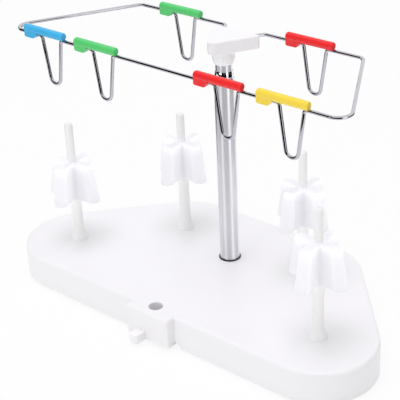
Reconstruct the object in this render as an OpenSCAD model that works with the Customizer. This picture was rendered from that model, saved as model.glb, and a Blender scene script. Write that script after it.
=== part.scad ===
// Serger thread stand: a moulded base with four spool pins, and a telescopic mast that
// carries a wire loop with thread eyelets. Millimetres, +Z up, the front faces -Y.

/* [Base] */
// Distance between the two front spool pins
front_pin_span = 230; // [205:1:260]
// Distance between the two back spool pins
back_pin_span = 115; // [100:1:135]
// Distance from the front pin row back to the back pin row
pin_row_gap = 63; // [56:1:76]
// Distance from the front pin row back to the mast
mast_setback = 48; // [40:1:54]
// Radius of the base's round corners
corner_r = 41.5; // [38:0.5:50]
// How far the corners' centres lie outside the pins
corner_out = 1.5; // [0:0.5:4]
// How far the back corners' centres lie behind the back pins
corner_back = 3; // [0:0.5:6]
// Height of the base moulding
base_h = 24.5; // [21:0.5:32]
// Thickness of the base's top and side walls
base_wall = 2.5; // [1.8:0.1:4]
// Rounding of the base's upper edge
top_edge_r = 2.5; // [1:0.5:5]
// Thickness of the ribs under the base
rib_t = 2; // [1.5:0.1:3]
// Depth of the ribs under the top wall
rib_h = 8; // [5:0.5:11]

/* [Feet] */
// Diameter of a rubber foot
foot_d = 12; // [9:0.5:15]
// Thickness of a rubber foot
foot_t = 3; // [2.5:0.1:4]
// How far a foot stands below the base
foot_proud = 1.5; // [1:0.1:2]
// Distance of each foot from the nearest pin axis, along X and along Y
foot_offset = 20; // [16:0.5:21]

/* [Fixing boss] */
// Width of the boss at the front of the base
boss_w = 40; // [32:1:50]
// How far the boss stands out from the front wall
boss_reach = 7.5; // [4:0.5:10]
// How far the boss's underside lies above the base's lower edge
boss_lift = 1.5; // [0:0.5:3]
// Diameter of the fixing screw hole
fixing_hole_d = 5.4; // [4.4:0.1:6.5]
// Diameter of the recess for the fixing screw's head
fixing_recess_d = 10.2; // [9:0.1:12]
// Depth of that recess
fixing_recess_h = 13; // [8:0.5:15]
// Distance of the fixing hole behind the boss's front face
fixing_setback = 11.5; // [9:0.5:13]
// Width of the hook tongue
tongue_w = 8; // [6:0.5:14]
// Thickness of the hook tongue
tongue_t = 7; // [4:0.5:9]
// Length of the hook tongue in front of the boss
tongue_len = 9.8; // [7:0.1:14]
// Distance of the tongue to the left of the middle
tongue_shift = 5.5; // [0:0.5:10]
// Rounding of the tongue's front corners
tongue_r = 3; // [1:0.5:3]
// Width of the raised rim on each side of the boss
relief_w = 7; // [5:0.5:14]
// Height of the raised rim beside the boss
relief_h = 3.5; // [2:0.5:6]

/* [Spool pins] */
// Height of a spool pin above the base
pin_h = 100; // [92:1:106]
// Diameter of the straight top of a pin
pin_top_d = 6.2; // [5.6:0.1:6.6]
// Length of the straight top of a pin, with its tip
pin_top_len = 22; // [16:1:24]
// Rounding of the pin's tip
pin_tip_r = 2.2; // [1:0.1:2.6]
// Diameter where the flare ends
pin_neck_d = 8.8; // [8.2:0.1:9.4]
// Diameter at the height where a cone holder grips
pin_grip_d = 8; // [7.2:0.1:8.2]
// Height on the pin where that diameter is measured
pin_grip_h = 45; // [42:0.5:47]
// Diameter of the flared foot of a pin
flare_d = 13.8; // [12:0.1:16]
// Height of the flare
flare_h = 13; // [9:0.5:16]
// Height of the straight rim under the flare
flare_rim_h = 1.2; // [0.6:0.1:2]
// Diameter of the spigot that sits in the base
spigot_d = 9; // [8:0.1:10]
// Length of the spigot below the base's top
spigot_len = 12; // [9:0.5:13]
// Wall of the socket round a spigot
socket_wall = 2.2; // [1.6:0.1:3]
// Thickness of a socket's floor
socket_floor = 2.4; // [2:0.1:3]
// Length of a pin screw inside its pin
pin_screw_bite = 9; // [6:0.5:10]

/* [Cone holders] */
// Height of a cone holder
holder_h = 29.5; // [24:0.5:33]
// Distance from the pin to the middle of a lobe, at the bottom
lobe_offset = 17.9; // [15:0.1:19]
// Radius of a lobe at the bottom
lobe_r = 5.2; // [4.5:0.1:6]
// Width of the arm that joins a lobe to the middle, at the bottom
lobe_arm_w = 8.8; // [7:0.1:9]
// Radius of the valley between two lobes, at the bottom
valley_r = 7; // [6.7:0.1:7.4]
// Rounding of the valley's two sides
valley_blend_r = 3; // [1:0.5:4]
// Size of the holder's top as a share of its bottom
holder_taper = 0.78; // [0.74:0.01:0.9]
// Wall of a cone holder
holder_wall = 1.2; // [0.8:0.1:1.5]
// Height on its pin where the front left holder grips
front_left_seat = 38; // [32:0.5:42]
// Height on its pin where the front right holder grips
front_right_seat = 46; // [42:0.5:48]
// Height on its pin where the back left holder grips
back_left_seat = 47; // [42:0.5:48]
// Height on its pin where the back right holder grips
back_right_seat = 42.5; // [40:0.5:47]
// Turn of the front left holder on its pin
front_left_turn = 7; // [-45:1:45]
// Turn of the front right holder on its pin
front_right_turn = -1; // [-45:1:45]
// Turn of the back left holder on its pin
back_left_turn = -2; // [-45:1:45]
// Turn of the back right holder on its pin
back_right_turn = -6; // [-45:1:45]
// Gap between a holder's bore and its pin
holder_gap = 0.3; // [0.2:0.05:0.4]

/* [Mast] */
// Outside diameter of the lower tube
lower_tube_d = 14.8; // [14:0.1:16]
// Step in outside diameter from one tube to the next
tube_step = 1.4; // [1.3:0.05:1.6]
// Wall of the tubes
tube_wall = 0.4; // [0.3:0.05:0.45]
// Running gap, on the radius, between mast pieces that slide or turn
running_gap = 0.1; // [0.06:0.01:0.1]
// Height of the lower tube's top above the base
lower_tube_top = 147.8; // [140:0.1:170]
// Length of middle tube that shows with the mast pushed down
middle_show = 5.5; // [4.5:0.1:9]
// Length of upper tube that shows with the mast pushed down
upper_show = 5.2; // [3:0.1:9]
// Length of the rolled-in mouth at the top of a tube
mouth_len = 4; // [3:0.1:5]
// Length of the barrel that guides a tube in the next one
guide_len = 12; // [9:0.5:16]
// Length of the guide plug's spigot inside its tube
guide_spigot_len = 7; // [5:0.5:10]
// Gap between pieces that stop against each other
stop_gap = 0.3; // [0.2:0.05:0.5]
// Depth of the mast socket in the base
mast_depth = 16; // [14:0.5:17]
// Gap round the mast in its socket
mast_socket_gap = 0.3; // [0.2:0.05:0.4]
// Wall of the mast socket
mast_socket_wall = 3; // [2.5:0.1:4]
// Length of the plug in the mast's foot
mast_plug_len = 11; // [9:0.5:13]
// Length of the mast screw inside that plug
mast_screw_bite = 8.8; // [6:0.2:9]
// Thickness of the ring round the mast's foot
mast_ring_h = 0.8; // [0.5:0.1:1.5]
// Width of that ring, from its inside to its outside
mast_ring_w = 0.9; // [0.6:0.1:1.5]

/* [Screws] */
// Diameter of the mast screw
mast_screw_d = 4; // [3:0.1:5]
// Diameter of the screws under the spool pins
pin_screw_d = 3; // [2.5:0.1:3.4]
// Screw head diameter as a multiple of the screw diameter
screw_head_ratio = 1.9; // [1.7:0.05:2]
// Screw head height as a multiple of the screw diameter
screw_head_h_ratio = 0.6; // [0.5:0.05:0.65]
// Width of the cross slot in a screw head as a multiple of the screw diameter
screw_slot_ratio = 0.25; // [0.2:0.01:0.3]
// Share of a screw head's diameter that its slot takes up
screw_slot_share = 0.55; // [0.4:0.05:0.7]
// Share of a screw head's diameter that its outer face has
screw_face_share = 0.8; // [0.7:0.05:0.95]
// Thickness of the washer under the mast screw
washer_t = 0.8; // [0.5:0.1:1]
// Gap round screws and other fixed fits
fixed_gap = 0.05; // [0.03:0.01:0.08]

/* [Guide head] */
// Height of the head's body
head_h = 9.5; // [8:0.1:12]
// Distance from the mast forward to the head's nose
head_nose = 14.4; // [13:0.1:18]
// Rounding of the nose
nose_r = 5; // [4:0.1:7]
// Distance from the mast back to the head's back face
head_back = 17; // [15:0.1:20]
// Width of the head at its back
head_w = 40; // [36:0.5:48]
// Rounding of the head's two back corners
head_corner_r = 2; // [1:0.1:4]
// Height of the collar below the head
collar_h = 10; // [9:0.1:12]
// Diameter of the collar under the head
collar_d = 16.4; // [16:0.1:18]
// Height over which the collar swells to that diameter
collar_swell_h = 6; // [4:0.5:8]
// Wall of the collar at its lower end
collar_lip = 0.5; // [0.4:0.1:1]
// Thickness of the head above the end of the upper tube
head_roof = 5; // [4.6:0.1:5.5]
// Depth of the snap groove that keeps the head on the tube
snap_depth = 0.25; // [0.2:0.01:0.28]
// Height of the snap groove
snap_h = 2; // [1.6:0.1:2.4]

/* [Guide wire] */
// Diameter of the wire
wire_d = 2.5; // [2.2:0.1:2.8]
// Depth of the wire's centre below the head's top
wire_drop = 2.4; // [2:0.1:2.6]
// Distance of the front rail in front of the mast
rail_front = 65.2; // [55:0.2:75]
// Distance of the back rail behind the mast
rail_back = 25; // [23:0.2:30]
// Length of the front rail, corner to corner
front_rail_len = 298; // [290:1:310]
// Length of the back rail, corner to corner
back_rail_len = 199; // [190:1:215]
// Bend radius at the front corners
front_corner_r = 9; // [6:0.5:11]
// Bend radius at the back corners
back_corner_r = 6; // [4:0.5:10]
// Distance from the middle to the inner front eyelets
inner_eyelet_x = 54.4; // [48:0.1:60]
// Distance from the middle to the outer front eyelets
outer_eyelet_x = 105.2; // [102:0.1:108]
// Distance from the middle to the back eyelets
back_eyelet_x = 58.2; // [56:0.1:62]
// How far the front eyelets lie to the right of those places
front_eyelet_shift = 1.2; // [0:0.1:3]
// How far the back eyelets lie to the right of those places
back_eyelet_shift = 2.2; // [0:0.1:4]
// Width of an eyelet at the rail
eyelet_w = 19.1; // [17:0.1:23]
// Depth of an eyelet below the rail, to the wire's centre
eyelet_h = 34.9; // [28:0.1:36]
// Bend radius at the bottom of an eyelet
eyelet_r = 5.1; // [3.5:0.1:6]
// Bend radius where an eyelet leaves the rail
shoulder_r = 2.5; // [2:0.1:3]
// Distance from the middle to where the wire's ends leave the back rail
tail_x = 18; // [16.5:0.1:20]
// Distance from the middle to where the wire's ends enter the head
tail_entry_x = 12.2; // [11:0.1:13]
// Length of wire inside the head, measured along Y
tail_depth = 8; // [6:0.1:8.5]

/* [Thread clips] */
// Diameter of a clip's arm
clip_d = 6; // [5.2:0.1:7]
// Height of the arm's centre above the wire's centre
clip_rise = 3; // [2.6:0.1:3.4]
// Length of a front clip to the left of its eyelet
clip_left = 26.2; // [23:0.1:27]
// Length of a front clip to the right of its eyelet
clip_right = 12.8; // [12.5:0.1:17]
// How much further right than a front clip a back clip sits over its eyelet
back_clip_shift = 2.5; // [0:0.1:3]
// Rounding of the arm's two ends
clip_end_r = 1; // [0.5:0.1:1.5]
// Thickness of the lug, front to back
lug_t = 5.4; // [4.6:0.1:6]
// Depth of the lug below the wire's centre
lug_drop = 3.3; // [2.6:0.1:4.5]
// Length of the lug along its lower edge
lug_len = 9.2; // [7.5:0.1:10]
// Length by which the lug's slanted end runs out above
lug_slant = 2.8; // [1:0.1:3]

/* [Hidden] */
$fn = 64;

// How far cutting shapes run past what they cut
past = 1;
// Sides of the full circle that each round corner of the base is part of
corner_sides = 48;

// Places in plan, from the mast axis
front_y = -mast_setback;
back_y = pin_row_gap - mast_setback;
front_left = [-front_pin_span / 2, front_y];
front_right = [front_pin_span / 2, front_y];
back_right = [back_pin_span / 2, back_y];
back_left = [-back_pin_span / 2, back_y];
pin_points = [front_left, front_right, back_right, back_left];
corner_points = [for (p = pin_points) p + [sign(p.x) * corner_out, p.y < 0 ? 0 : corner_back]];
wall_front = front_y - corner_r;
boss_front = wall_front - boss_reach;
fixing_y = boss_front + fixing_setback;
boss_back = fixing_y + fixing_recess_d / 2 + base_wall;
tongue_tip = boss_front - tongue_len;
stand_back = back_y + corner_back + corner_r;

// The frame's origin lies on the floor, in the middle of the stand's outline
mast_y = -(tongue_tip + stand_back) / 2;
base_top = foot_proud + base_h;
boss_h = base_h - boss_lift;

// Spool pins
pin_taper_top = pin_h - pin_top_len;
pin_socket_r = spigot_d / 2 + fixed_gap + socket_wall;
lowest_seat = min(front_left_seat, front_right_seat, back_left_seat, back_right_seat);
pin_screw_head_r = pin_screw_d * screw_head_ratio / 2;
pin_screw_head_h = pin_screw_d * screw_head_h_ratio;

// Mast tubes, outside radii and heights with the mast pushed down
lower_r = lower_tube_d / 2;
middle_r = lower_r - tube_step / 2;
upper_r = middle_r - tube_step / 2;
mast_socket_r = lower_r + mast_socket_gap + mast_socket_wall;
plug_top = mast_plug_len - mast_depth;
middle_guide_z = plug_top + stop_gap;
middle_foot = middle_guide_z + guide_len;
middle_top = lower_tube_top + middle_show;
upper_guide_z = middle_foot + guide_spigot_len + stop_gap;
upper_foot = upper_guide_z + guide_len;
collar_z = middle_top + upper_show;
head_z = collar_z + collar_h;
head_top = head_z + head_h;
upper_top = head_top - head_roof - stop_gap;
snap_z = head_z - snap_h / 2;
mast_screw_head_r = mast_screw_d * screw_head_ratio / 2;
mast_screw_head_h = mast_screw_d * screw_head_h_ratio;

// Guide wire, from the mast axis and the rail's height
wire_r = wire_d / 2;
rail_z = head_top - wire_drop;
leg_slope = atan(eyelet_w / 2 / (eyelet_h - eyelet_r))
    - asin(eyelet_r / norm([eyelet_w / 2, eyelet_h - eyelet_r]));
eyelet_apex = eyelet_w / 2 / tan(leg_slope);
shoulder_run = shoulder_r * tan((90 - leg_slope) / 2);
tail_slope = (tail_x - tail_entry_x) / (rail_back - head_back);
tail_end_x = tail_entry_x - tail_slope * tail_depth;
tail_end_y = head_back - tail_depth;
wire_sides = 10;
bend_step = 18;

// Colours
white = [0.96, 0.96, 0.97];
pin_white = [0.94, 0.94, 0.93];
frosted = [0.93, 0.92, 0.96, 0.6];
chrome = [0.78, 0.79, 0.82];
dark_nylon = [0.25, 0.25, 0.27];
steel = [0.62, 0.63, 0.65];
rubber = [0.2, 0.2, 0.21];
blue = [0.29, 0.73, 0.93];
green = [0.36, 0.84, 0.47];
red = [0.98, 0.2, 0.21];
yellow = [1, 0.88, 0.31];

// Ends of the outer tangent of two circles [x, y, r], met while walking counter-clockwise
function tangent(a, b) =
    let (step = [b.x - a.x, b.y - a.y], along = step / norm(step), lean = (a.z - b.z) / norm(step))
    let (side = sqrt(1 - lean * lean))
    let (out = [along.y * side + along.x * lean, along.y * lean - along.x * side])
    [[a.x, a.y] + a.z * out, [b.x, b.y] + b.z * out];

// Outline drawn tightly round circles [x, y, r], listed counter-clockwise
module round_outline(circles) {
    last = len(circles) - 1;
    polygon([for (i = [0:last]) each tangent(circles[i], circles[i == last ? 0 : i + 1])]);
    for (c = circles) translate([c.x, c.y]) circle(c.z);
}

// Puts children, drawn from the mast axis and the base's top, into the stand's own frame
module stand() {
    translate([0, mast_y, base_top]) children();
}

// Pan-head screw with its head below z = 0 and its shank above
module pan_screw(d, head_r, head_h, length) {
    slot_w = d * screw_slot_ratio;
    slot_len = 2 * head_r * screw_slot_share;
    difference() {
        union() {
            cylinder(h = length, d = d);
            translate([0, 0, -head_h]) cylinder(h = head_h, r1 = head_r * screw_face_share, r2 = head_r);
        }
        for (turn = [0, 90])
            rotate(turn) translate([-slot_len / 2, -slot_w / 2, -head_h - past])
                cube([slot_len, slot_w, head_h / 2 + past]);
    }
}

module base_outline(inset) {
    hull() for (p = corner_points) translate(p) circle(corner_r - inset, $fn = corner_sides);
}

// Half outline of a round corner of the base, with its rounded upper edge
module corner_profile() {
    square([corner_r - top_edge_r, base_h]);
    square([corner_r, base_h - top_edge_r]);
    intersection() {
        translate([corner_r - top_edge_r, base_h - top_edge_r]) circle(top_edge_r, $fn = 32);
        square([corner_r, base_h]);
    }
}

// Solid base block
module base_block() {
    translate([0, 0, -base_h]) hull() for (p = corner_points)
        translate([p.x, p.y, 0]) rotate_extrude($fn = corner_sides) corner_profile();
}

module base_ribs() {
    for (p = pin_points)
        rotate(atan2(p.y, p.x)) translate([0, -rib_t / 2, -base_wall - rib_h])
            cube([norm(p), rib_t, rib_h + base_wall / 2]);
    translate([-rib_t / 2, wall_front + base_wall / 2, -base_wall - rib_h])
        cube([rib_t, stand_back - wall_front - base_wall, rib_h + base_wall / 2]);
}

foot_points = [for (p = pin_points) p + foot_offset * [sign(p.x), p.y < 0 ? -1 : 1]];

module base_shell() {
    mast_hole_r = mast_screw_d / 2 + fixed_gap;
    pin_hole_r = pin_screw_d / 2 + fixed_gap;
    foot_pocket_r = foot_d / 2 + fixed_gap;
    color(white) stand() difference() {
        union() {
            difference() {
                base_block();
                translate([0, 0, -base_h - past])
                    linear_extrude(base_h + past - base_wall) base_outline(base_wall);
                translate([0, wall_front - past, -base_h]) raised_rim();
            }
            base_ribs();
            translate([0, 0, -mast_depth - socket_floor])
                cylinder(h = mast_depth + socket_floor - base_wall / 2, r = mast_socket_r);
            for (p = pin_points)
                translate([p.x, p.y, -spigot_len - socket_floor])
                    cylinder(h = spigot_len + socket_floor - base_wall / 2, r = pin_socket_r);
            for (p = foot_points) translate([p.x, p.y, -base_h])
                cylinder(h = base_h - base_wall / 2, r = foot_pocket_r + socket_wall);
            translate([-boss_w / 2, boss_front, -boss_h])
                cube([boss_w, boss_back - boss_front, boss_h]);
            translate([-tongue_shift, 0, -boss_h]) linear_extrude(tongue_t) tongue_outline();
        }
        translate([0, 0, -mast_depth]) cylinder(h = mast_depth + past, r = lower_r + mast_socket_gap);
        translate([0, 0, -base_h]) cylinder(h = base_h, r = mast_hole_r);
        for (p = pin_points) translate([p.x, p.y, 0]) {
            translate([0, 0, -spigot_len]) cylinder(h = spigot_len + past, r = spigot_d / 2 + fixed_gap);
            translate([0, 0, -base_h]) cylinder(h = base_h, r = pin_hole_r);
        }
        for (p = foot_points)
            translate([p.x, p.y, -base_h - past]) cylinder(h = foot_t - foot_proud + past, r = foot_pocket_r);
        translate([0, fixing_y, -base_h - past]) cylinder(h = base_h + 2 * past, d = fixing_hole_d);
        translate([0, fixing_y, -fixing_recess_h]) cylinder(h = fixing_recess_h + past, d = fixing_recess_d);
    }
}

// Opening in the front wall's lower edge, under the boss and in a low arch on each side of it
module raised_rim() {
    arch_r = (relief_w * relief_w + relief_h * relief_h) / (2 * relief_h);
    depth = base_wall + 2 * past;
    translate([-boss_w / 2, 0, -past]) cube([boss_w, depth, boss_lift + past]);
    for (side = [-1, 1])
        translate([side * boss_w / 2, depth, relief_h - arch_r])
            rotate([90, 0, 0]) cylinder(h = depth, r = arch_r);
}

module tongue_outline() {
    nose_x = tongue_w / 2 - tongue_r;
    translate([-tongue_w / 2, tongue_tip + tongue_r]) square([tongue_w, tongue_len - tongue_r + past]);
    translate([-nose_x, tongue_tip]) square([2 * nose_x, tongue_r + past]);
    for (side = [-1, 1]) translate([side * nose_x, tongue_tip + tongue_r]) circle(tongue_r);
}

module rubber_feet() {
    color(rubber) stand() for (p = foot_points)
        translate([p.x, p.y, -base_h - foot_proud]) cylinder(h = foot_t, d = foot_d);
}

// Mast tube from z0 to z1 with a rolled-in mouth that runs on the next tube
module rolled_tube(r, z0, z1, next_r) {
    neck = z1 - mouth_len;
    turn = tube_wall;
    mouth_r = next_r + running_gap;
    rotate_extrude() polygon([
        [r - tube_wall, z0], [r, z0], [r, neck - turn], [mouth_r + tube_wall, neck],
        [mouth_r + tube_wall, z1], [mouth_r, z1], [mouth_r, neck], [r - tube_wall, neck - turn]
    ]);
}

module lower_tube() {
    color(chrome) stand() rolled_tube(lower_r, -mast_depth, lower_tube_top, middle_r);
}

module mast_ring() {
    inner_r = lower_r + fixed_gap;
    color(rubber) stand() difference() {
        cylinder(h = mast_ring_h, r = inner_r + mast_ring_w);
        translate([0, 0, -past]) cylinder(h = mast_ring_h + 2 * past, r = inner_r);
    }
}

module mast_plug() {
    color(steel) stand() translate([0, 0, -mast_depth]) difference() {
        cylinder(h = mast_plug_len, r = lower_r - tube_wall - fixed_gap);
        translate([0, 0, -past]) cylinder(h = mast_screw_bite + 2 * past, r = mast_screw_d / 2 + fixed_gap);
    }
}

module mast_screw() {
    grip = socket_floor + washer_t;
    color(steel) stand() translate([0, 0, -mast_depth - grip])
        pan_screw(mast_screw_d, mast_screw_head_r, mast_screw_head_h, grip + mast_screw_bite);
}

module mast_washer() {
    color(steel) stand() translate([0, 0, -mast_depth - socket_floor - washer_t]) difference() {
        cylinder(h = washer_t, r = mast_screw_head_r + washer_t);
        translate([0, 0, -past]) cylinder(h = washer_t + 2 * past, r = mast_screw_d / 2 + fixed_gap);
    }
}

module middle_tube() {
    color(chrome) stand() rolled_tube(middle_r, middle_foot, middle_top, upper_r);
}

// Guide barrel that runs in a tube of inside radius bore_r, with a spigot in the tube it carries
module guide_plug(bore_r, tube_r) {
    cylinder(h = guide_len, r = bore_r - running_gap);
    cylinder(h = guide_len + guide_spigot_len, r = tube_r - tube_wall - fixed_gap);
}

module middle_guide_plug() {
    color(dark_nylon) stand() translate([0, 0, middle_guide_z])
        guide_plug(lower_r - tube_wall, middle_r);
}

module upper_tube() {
    groove_r = upper_r - snap_depth - running_gap;
    edge = snap_depth + running_gap;
    color(chrome) stand() rotate_extrude() polygon([
        [upper_r - tube_wall, upper_foot], [upper_r, upper_foot],
        [upper_r, snap_z - edge], [groove_r, snap_z],
        [groove_r, snap_z + snap_h], [upper_r, snap_z + snap_h + edge], [upper_r, upper_top],
        [upper_r - tube_wall, upper_top], [upper_r - tube_wall, snap_z + snap_h + edge],
        [groove_r - tube_wall, snap_z + snap_h], [groove_r - tube_wall, snap_z],
        [upper_r - tube_wall, snap_z - edge]
    ]);
}

module upper_guide_plug() {
    color(dark_nylon) stand() translate([0, 0, upper_guide_z])
        guide_plug(middle_r - tube_wall, upper_r);
}

module head_outline() {
    corner_x = head_w / 2 - head_corner_r;
    corner_y = head_back - head_corner_r;
    round_outline([
        [0, nose_r - head_nose, nose_r],
        [corner_x, corner_y, head_corner_r],
        [-corner_x, corner_y, head_corner_r]
    ]);
}

// Collar that swells from the tube up to the head
module collar() {
    foot_r = upper_r + running_gap + collar_lip;
    swell = collar_d / 2 - foot_r;
    bulge_r = (swell * swell + collar_swell_h * collar_swell_h) / (2 * swell);
    translate([0, 0, collar_z]) rotate_extrude() {
        translate([0, collar_swell_h]) square([collar_d / 2, collar_h - collar_swell_h + past]);
        intersection() {
            square([collar_d / 2, collar_swell_h]);
            translate([collar_d / 2 - bulge_r, collar_swell_h]) circle(bulge_r, $fn = 128);
        }
    }
}

module guide_head() {
    bore_r = upper_r + running_gap;
    rib_edge = snap_depth;
    color(white) stand() difference() {
        union() {
            translate([0, 0, head_z]) linear_extrude(head_h) head_outline();
            collar();
        }
        rotate_extrude() polygon([
            [0, collar_z - past], [bore_r, collar_z - past],
            [bore_r, snap_z + running_gap], [bore_r - rib_edge, snap_z + running_gap + rib_edge],
            [bore_r - rib_edge, snap_z + snap_h - running_gap - rib_edge],
            [bore_r, snap_z + snap_h - running_gap],
            [bore_r, upper_top + stop_gap], [0, upper_top + stop_gap]
        ]);
        for (side = [-1, 1]) wire_tail_hole(side);
    }
}

module wire_tail_hole(side) {
    run = [tail_x - tail_end_x, rail_back - tail_end_y];
    translate([side * tail_end_x, tail_end_y, rail_z])
        rotate([0, 0, side > 0 ? atan2(run.y, run.x) : 180 - atan2(run.y, run.x)])
            rotate([0, 90, 0]) translate([0, 0, -stop_gap])
                cylinder(h = norm(run) + stop_gap, r = wire_r + fixed_gap);
}

// Three corners [point, bend radius] of a V eyelet at x on the rail y, walked towards +X or -X
function eyelet(x, y, dir) = [
    [[x - dir * eyelet_w / 2, y, 0], shoulder_r],
    [[x, y, -eyelet_apex], eyelet_r],
    [[x + dir * eyelet_w / 2, y, 0], shoulder_r]
];

outer_left_x = front_eyelet_shift - outer_eyelet_x;
inner_left_x = front_eyelet_shift - inner_eyelet_x;
inner_right_x = front_eyelet_shift + inner_eyelet_x;
outer_right_x = front_eyelet_shift + outer_eyelet_x;
back_left_x = back_eyelet_shift - back_eyelet_x;
back_right_x = back_eyelet_shift + back_eyelet_x;
wire_path = [
    [[-tail_end_x, tail_end_y, 0], 0],
    [[-tail_x, rail_back, 0], shoulder_r],
    each eyelet(back_left_x, rail_back, -1),
    [[-back_rail_len / 2, rail_back, 0], back_corner_r],
    [[-front_rail_len / 2, -rail_front, 0], front_corner_r],
    each eyelet(outer_left_x, -rail_front, 1),
    each eyelet(inner_left_x, -rail_front, 1),
    each eyelet(inner_right_x, -rail_front, 1),
    each eyelet(outer_right_x, -rail_front, 1),
    [[front_rail_len / 2, -rail_front, 0], front_corner_r],
    [[back_rail_len / 2, rail_back, 0], back_corner_r],
    each eyelet(back_right_x, rail_back, -1),
    [[tail_x, rail_back, 0], shoulder_r],
    [[tail_end_x, tail_end_y, 0], 0]
];

function unit(v) = v / norm(v);
function way(i) = unit(wire_path[i + 1][0] - wire_path[i][0]);
function bend_angle(i) = acos(way(i - 1) * way(i));

// Stations [point, direction] round the bend at corner i
function bend_stations(i) =
    let (u = way(i - 1), v = way(i), r = wire_path[i][1], turn = bend_angle(i))
    let (inward = unit(v - (v * u) * u), start = wire_path[i][0] - r * tan(turn / 2) * u)
    let (centre = start + r * inward, steps = ceil(turn / bend_step))
    [for (k = [0:steps]) let (a = turn * k / steps)
        [centre + r * (sin(a) * u - cos(a) * inward), cos(a) * u + sin(a) * inward]];

// Stations along the whole wire, end to end
last_corner = len(wire_path) - 1;
wire_stations = [
    [wire_path[0][0], way(0)],
    each [for (i = [1:last_corner - 1]) each bend_stations(i)],
    [wire_path[last_corner][0], way(last_corner - 1)]
];

// Points round the wire at a station, starting at its level side
function wire_ring(station) =
    let (t = station[1], level = unit([-t.y, t.x, 0]), rise = cross(t, level))
    [for (k = [0:wire_sides - 1]) let (a = 360 * k / wire_sides)
        station[0] + wire_r * (cos(a) * level + sin(a) * rise)];

// Tube swept through the stations, with flat ends
module swept_wire() {
    n = wire_sides;
    rings = len(wire_stations);
    polyhedron(
        points = [for (s = wire_stations) each wire_ring(s)],
        faces = [
            [for (k = [0:n - 1]) k],
            each [for (j = [0:rings - 2], k = [0:n - 1]) let (a = j * n + k, b = j * n + (k + 1) % n)
                each [[a, a + n, b], [b, a + n, b + n]]],
            [for (k = [n - 1:-1:0]) (rings - 1) * n + k]
        ]
    );
}

module guide_wire() {
    color(chrome) stand() translate([0, 0, rail_z]) swept_wire();
}

// Clip over the eyelet at x on the rail y: a round arm above the wire, with a lug at its left end
module thread_clip(x, y, shift, tint) {
    left = clip_left - shift;
    right = clip_right + shift;
    groove_r = wire_r + fixed_gap;
    bend_x = -eyelet_w / 2 - shoulder_run - fixed_gap;
    color(tint) stand() translate([x, y, rail_z]) difference() {
        union() {
            translate([-left, 0, clip_rise]) rotate([0, 90, 0]) clip_arm(left + right);
            translate([-left, lug_t / 2, 0]) rotate([90, 0, 0]) linear_extrude(lug_t) polygon([
                [clip_end_r, clip_rise], [clip_end_r / 2, -lug_drop + clip_end_r], [clip_end_r, -lug_drop],
                [lug_len, -lug_drop], [lug_len + lug_slant, clip_rise - clip_d / 2],
                [lug_len + lug_slant, clip_rise]
            ]);
        }
        translate([-left - past, 0, 0]) rotate([0, 90, 0])
            cylinder(h = left + right + 2 * past, r = groove_r);
        translate([bend_x, -groove_r, -clip_d]) cube([right - bend_x + past, 2 * groove_r, clip_d]);
    }
}

// Round bar along +Z with softened ends
module clip_arm(length) {
    r = clip_d / 2;
    rotate_extrude() polygon([
        [0, 0], [r - clip_end_r, 0], [r, clip_end_r],
        [r, length - clip_end_r], [r - clip_end_r, length], [0, length]
    ]);
}

module front_outer_left_clip() { thread_clip(outer_left_x, -rail_front, 0, blue); }
module front_inner_left_clip() { thread_clip(inner_left_x, -rail_front, 0, green); }
module front_inner_right_clip() { thread_clip(inner_right_x, -rail_front, 0, red); }
module front_outer_right_clip() { thread_clip(outer_right_x, -rail_front, 0, yellow); }
module back_left_clip() { thread_clip(back_left_x, rail_back, back_clip_shift, green); }
module back_right_clip() { thread_clip(back_right_x, rail_back, back_clip_shift, red); }

// Radius of a pin at a height above the base, between the flare and the straight top
function pin_r(z) = z < pin_grip_h
    ? lookup(z, [[flare_h, pin_neck_d / 2], [pin_grip_h, pin_grip_d / 2]])
    : lookup(z, [[pin_grip_h, pin_grip_d / 2], [pin_taper_top, pin_top_d / 2]]);

module spool_pin(p) {
    spread = (flare_d - pin_neck_d) / 2;
    rise = flare_h - flare_rim_h;
    flare_r = (spread * spread + rise * rise) / (2 * spread);
    top_r = pin_top_d / 2;
    color(pin_white) stand() translate([p.x, p.y, 0]) difference() {
        union() {
            rotate_extrude() difference() {
                square([flare_d / 2, flare_h]);
                translate([pin_neck_d / 2 + flare_r, flare_h]) circle(flare_r, $fn = 192);
            }
            rotate_extrude() {
                polygon([
                    [0, flare_h], [pin_neck_d / 2, flare_h],
                    [pin_grip_d / 2, pin_grip_h], [top_r, pin_taper_top],
                    [top_r, pin_h - pin_tip_r], [top_r - pin_tip_r, pin_h], [0, pin_h]
                ]);
                intersection() {
                    translate([top_r - pin_tip_r, pin_h - pin_tip_r]) circle(pin_tip_r);
                    translate([0, pin_h - pin_tip_r]) square([top_r, pin_tip_r]);
                }
            }
            translate([0, 0, -spigot_len]) cylinder(h = spigot_len + past, d = spigot_d);
        }
        translate([0, 0, -spigot_len - past])
            cylinder(h = pin_screw_bite + 2 * past, r = pin_screw_d / 2 + fixed_gap);
    }
}

module front_left_spool_pin() { spool_pin(front_left); }
module front_right_spool_pin() { spool_pin(front_right); }
module back_left_spool_pin() { spool_pin(back_left); }
module back_right_spool_pin() { spool_pin(back_right); }

module pin_screws() {
    color(steel) stand() for (p = pin_points)
        translate([p.x, p.y, -spigot_len - socket_floor])
            pan_screw(pin_screw_d, pin_screw_head_r, pin_screw_head_h, socket_floor + pin_screw_bite);
}

// Four lobes round a core, with blended valleys
module clover(inset) {
    offset(r = -inset, $fn = 24) offset(r = -valley_blend_r, $fn = 16) offset(r = valley_blend_r, $fn = 16) {
        circle(valley_r, $fn = 16);
        for (turn = [0:90:270]) rotate(turn) {
            translate([lobe_offset, 0]) circle(lobe_r, $fn = 24);
            translate([0, -lobe_arm_w / 2]) square([lobe_offset, lobe_arm_w]);
        }
    }
}

// Size of a holder at a height above its foot, as a share of its bottom
function holder_scale(z) = 1 - (1 - holder_taper) * z / holder_h;

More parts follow.
